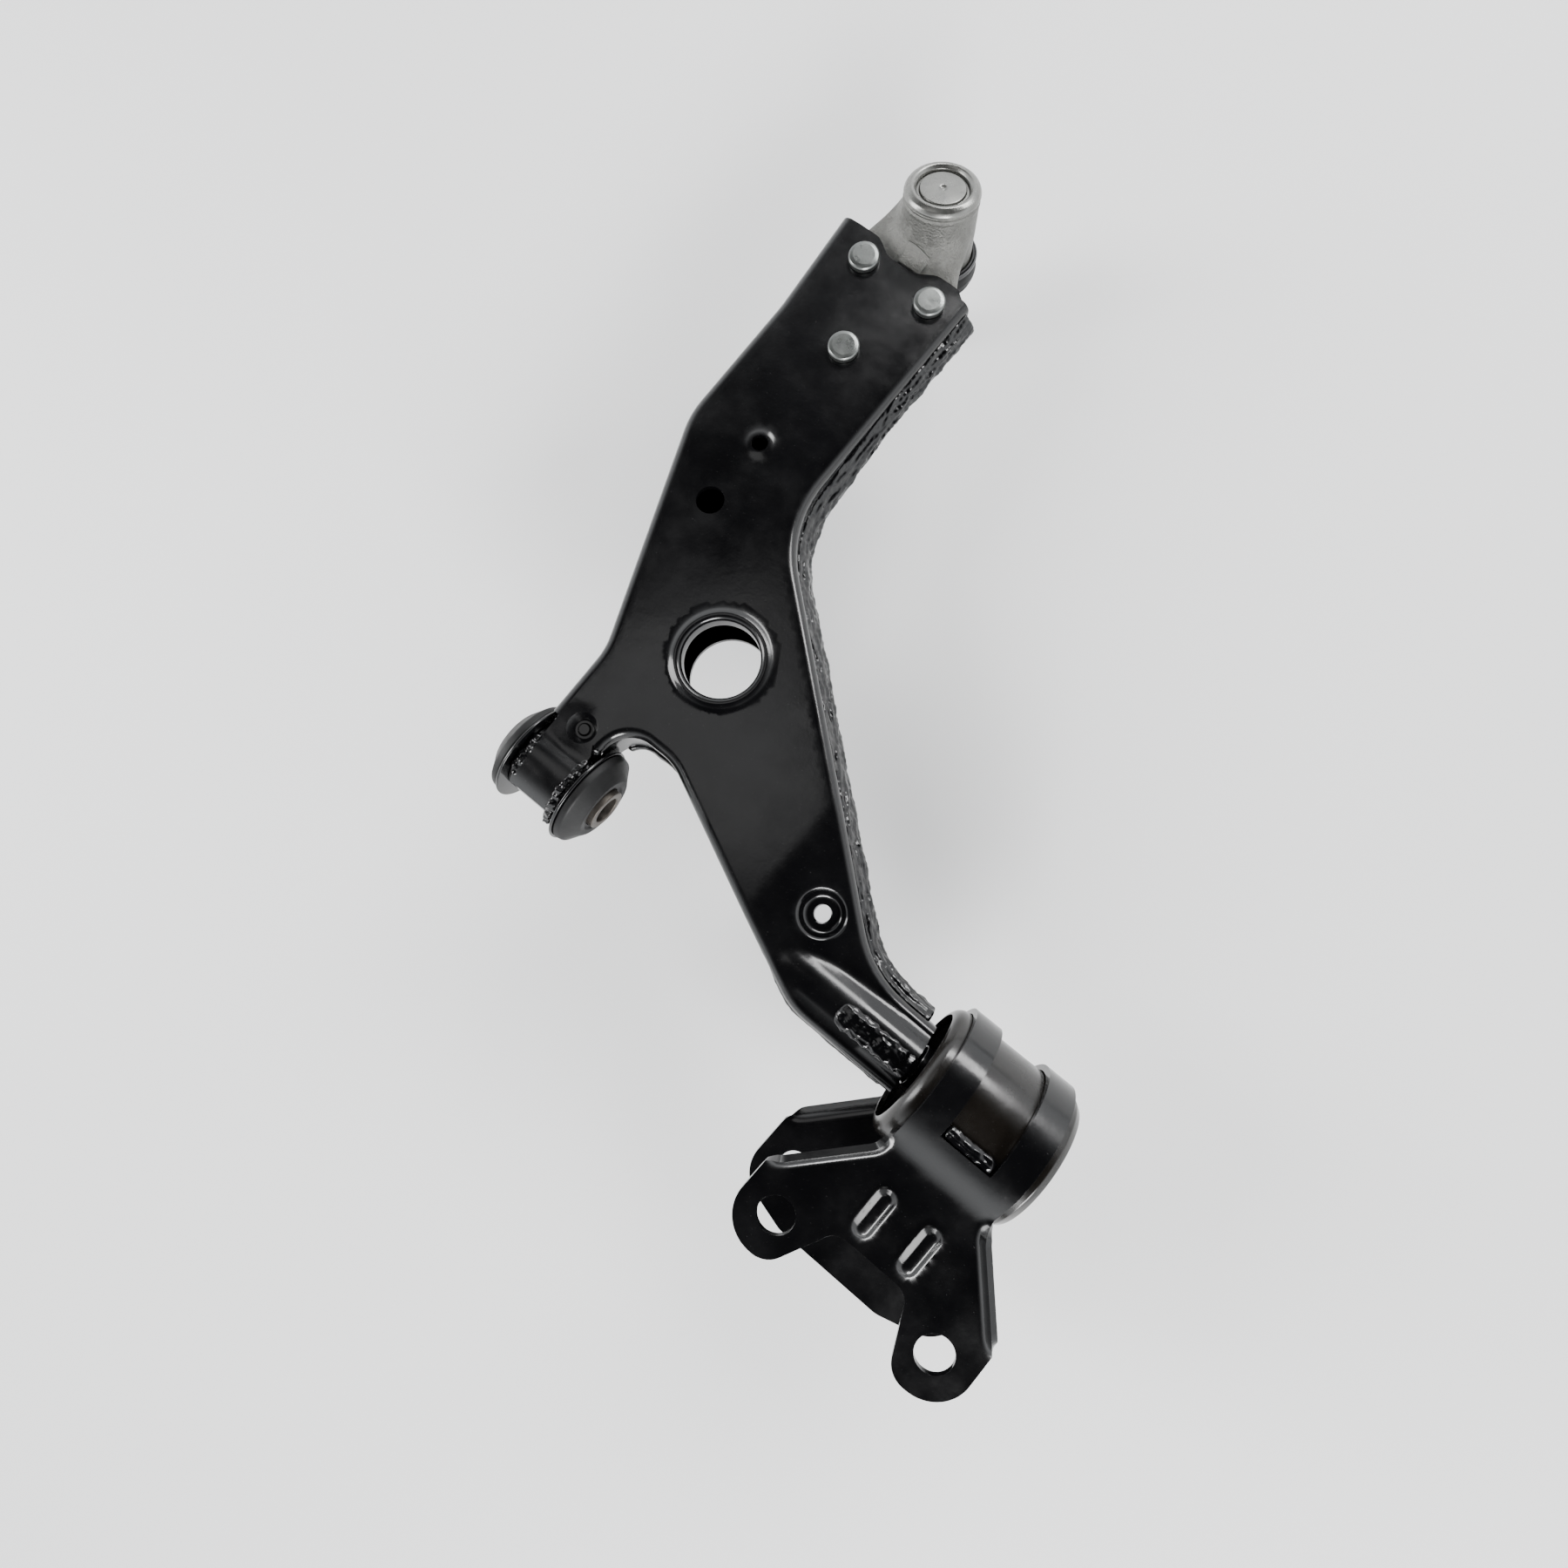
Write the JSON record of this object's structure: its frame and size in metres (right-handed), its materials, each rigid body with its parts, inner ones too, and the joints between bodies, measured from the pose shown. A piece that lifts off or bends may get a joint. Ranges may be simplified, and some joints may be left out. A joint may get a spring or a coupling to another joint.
{
  "type": "control arm",
  "caption": "Pressed steel suspension control arm with a riveted ball joint, a flanged front bush and a rear bush held in a bolt-on strap bracket.",
  "frame": {"origin": "On the outer face of the bracket's lower plate, midway between its two bolt holes.", "axes": "+X along the pivot line from the front bush to the rear bush, +Y from the pivot line out to the ball joint, +Z square to the bracket plates on the side of the ball joint's closed cover."},
  "size_m": [0.3764, 0.4662, 0.1339],
  "materials": {
    "black_paint": "gloss black electrocoat",
    "black_can": "thin satin black coat over the can",
    "flange_steel": "dark phosphated steel",
    "ring_steel": "black spring steel",
    "cast_metal": "pale zinc phosphate on a rough forging",
    "zinc_steel": "zinc plated, softly pitted",
    "bare_steel": "turned steel",
    "seat_plastic": "moulded natural plastic",
    "rubber": "moulded black rubber"
  },
  "bodies": {
    "arm": {"upper_shell": "black_paint", "lower_shell": "black_paint", "outer_seam_weld": "black_paint", "inner_seam_weld": "black_paint", "left_seam_weld": "black_paint", "slot_weld": "black_paint", "eye_weld_front": "black_paint", "eye_weld_rear": "black_paint", "front_eye_tube": "black_paint", "bush_flange_front": "flange_steel", "bush_flange_rear": "flange_steel", "front_bush_rubber_front": "rubber", "front_bush_rubber_rear": "rubber", "ball_joint_housing": "cast_metal", "ball_joint_cover": "cast_metal", "ball_seat": "seat_plastic", "boot_upper_ring": "ring_steel", "rivet_1": "zinc_steel", "rivet_2": "zinc_steel", "rivet_3": "zinc_steel", "tail_shaft": "black_paint", "rear_bush_sleeve": "bare_steel"},
    "front_pivot_sleeve": {"front_bush_sleeve": "bare_steel"},
    "bracket": {"rear_bracket": "black_paint", "rear_bush_can": "black_can", "rear_bush_rubber": "rubber", "window_weld_upper": "black_paint", "window_weld_lower": "black_paint"},
    "boot": {"dust_boot": "rubber"},
    "boot_ring": {"boot_lower_ring": "ring_steel"},
    "stud": {"ball_stud": "bare_steel"}
  },
  "joints": [
    {"name": "front_bush_twist", "type": "hinge", "parent": "arm", "child": "front_pivot_sleeve", "pos_m": [-0.25, 0.085, 0.0285], "axis": [1, 0, 0], "range_deg": [-25, 25], "stiffness_Nm_per_rad": 60},
    {"name": "rear_bush_twist", "type": "hinge", "parent": "arm", "child": "bracket", "pos_m": [0, 0.085, 0.0285], "axis": [1, 0, 0], "range_deg": [-20, 20], "stiffness_Nm_per_rad": 120},
    {"name": "stud_tilt_x", "type": "hinge", "parent": "arm", "child": "boot", "pos_m": [-0.27593, 0.41492, 0.00037], "axis": [-0.9948, 0, -0.1017], "range_deg": [-12, 12], "deforming": ["dust_boot"]},
    {"name": "stud_tilt_y", "type": "hinge", "parent": "boot", "child": "boot_ring", "pos_m": [-0.27593, 0.41492, 0.00037], "axis": [-0.0351, -0.9388, 0.3427], "range_deg": [-12, 12], "deforming": ["dust_boot"]},
    {"name": "stud_spin", "type": "hinge", "parent": "boot_ring", "child": "stud", "pos_m": [-0.27593, 0.41492, 0.00037], "axis": [0.0955, -0.3445, -0.9339], "continuous": true}
  ]
}
